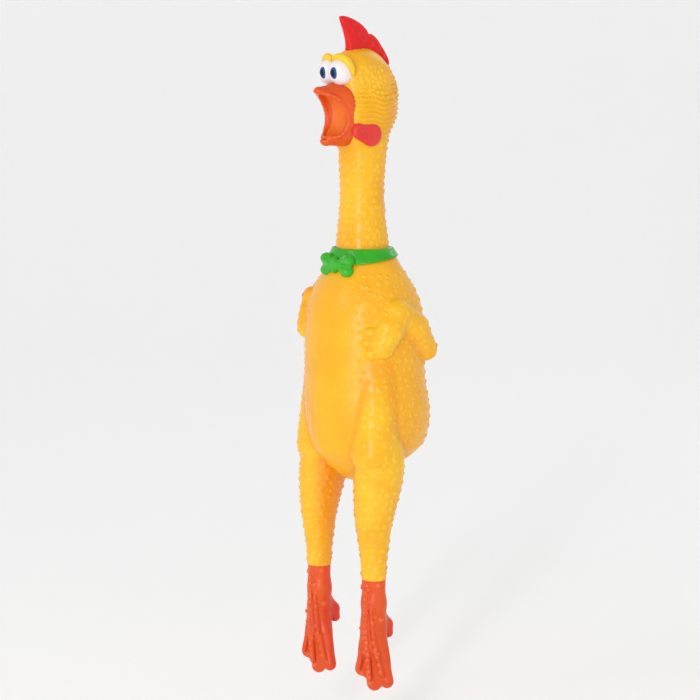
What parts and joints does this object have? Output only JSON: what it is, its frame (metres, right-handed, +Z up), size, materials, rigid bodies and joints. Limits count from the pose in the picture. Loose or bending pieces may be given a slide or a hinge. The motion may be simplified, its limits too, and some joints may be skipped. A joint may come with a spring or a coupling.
{
  "type": "rubber chicken",
  "caption": "hollow soft vinyl chicken held up by its long neck, open beak, comb, bow-tie collar, folded wings and dangling legs; squawks when squeezed",
  "frame": {"origin": "middle of the neck, on its axis, where a hand holds it", "axes": "+Z up to the comb, -Y is where the beak points, +X is the bird's left side"},
  "size_m": [0.0864, 0.0785, 0.405],
  "materials": {
    "vinyl_yellow": "glossy soft vinyl with raised pimples",
    "vinyl_brow": "glossy soft vinyl, smooth",
    "vinyl_red": "glossy painted vinyl",
    "vinyl_wattle": "glossy painted vinyl",
    "vinyl_orange": "satin painted vinyl",
    "vinyl_lining": "satin painted vinyl",
    "vinyl_white": "glossy painted vinyl",
    "vinyl_green": "glossy painted vinyl",
    "squawker_plastic": "moulded, matte",
    "reed_film": "thin film, satin"
  },
  "bodies": {
    "neck": {"neck_shell": "vinyl_yellow", "throat_ring": "vinyl_yellow", "squawker_housing": "squawker_plastic", "squawker_cap": "squawker_plastic", "reed_block": "squawker_plastic"},
    "head": {"head_shell": "vinyl_yellow", "comb": "vinyl_red", "upper_beak": "vinyl_orange", "lower_beak": "vinyl_orange", "mouth_lining": "vinyl_lining", "eyeball_left": "vinyl_white", "eyeball_right": "vinyl_white", "eyelid_left": "vinyl_brow", "eyelid_right": "vinyl_brow", "wattle_left": "vinyl_wattle", "wattle_right": "vinyl_wattle"},
    "reed": {"squawker_reed": "reed_film"},
    "torso": {"torso_shell": "vinyl_yellow", "collar_band": "vinyl_green", "bow_knot": "vinyl_green", "bow_loop_left": "vinyl_green", "bow_loop_right": "vinyl_green", "wing_left": "vinyl_yellow", "wing_right": "vinyl_yellow"},
    "leg_left": {"leg_left": "vinyl_yellow"},
    "leg_right": {"leg_right": "vinyl_yellow"},
    "foot_left": {"foot_left": "vinyl_orange"},
    "foot_right": {"foot_right": "vinyl_orange"}
  },
  "joints": [
    {"name": "head_nod", "type": "hinge", "parent": "neck", "child": "head", "pos_m": [0, 0, 0.0305], "axis": [1, 0, 0], "range_deg": [-30, 30], "stiffness_Nm_per_rad": 0.25},
    {"name": "torso_swing", "type": "hinge", "parent": "neck", "child": "torso", "pos_m": [0, 0, -0.0305], "axis": [1, 0, 0], "range_deg": [-35, 35], "stiffness_Nm_per_rad": 0.4},
    {"name": "reed_flutter", "type": "hinge", "parent": "neck", "child": "reed", "pos_m": [0, -0.00025, 0.0117], "axis": [1, 0, 0], "range_deg": [-1.5, 1.5], "stiffness_Nm_per_rad": 0.002},
    {"name": "hip_left", "type": "hinge", "parent": "torso", "child": "leg_left", "pos_m": [0.026, -0.0125, -0.1595], "axis": [1, 0, 0], "range_deg": [-50, 35], "stiffness_Nm_per_rad": 0.12},
    {"name": "hip_right", "type": "hinge", "parent": "torso", "child": "leg_right", "pos_m": [-0.026, -0.0125, -0.1595], "axis": [1, 0, 0], "range_deg": [-50, 35], "stiffness_Nm_per_rad": 0.12},
    {"name": "ankle_left", "type": "hinge", "parent": "leg_left", "child": "foot_left", "pos_m": [0.026, -0.0125, -0.2275], "axis": [1, 0, 0], "range_deg": [-35, 35], "stiffness_Nm_per_rad": 0.04},
    {"name": "ankle_right", "type": "hinge", "parent": "leg_right", "child": "foot_right", "pos_m": [-0.026, -0.0125, -0.2275], "axis": [1, 0, 0], "range_deg": [-35, 35], "stiffness_Nm_per_rad": 0.04}
  ]
}
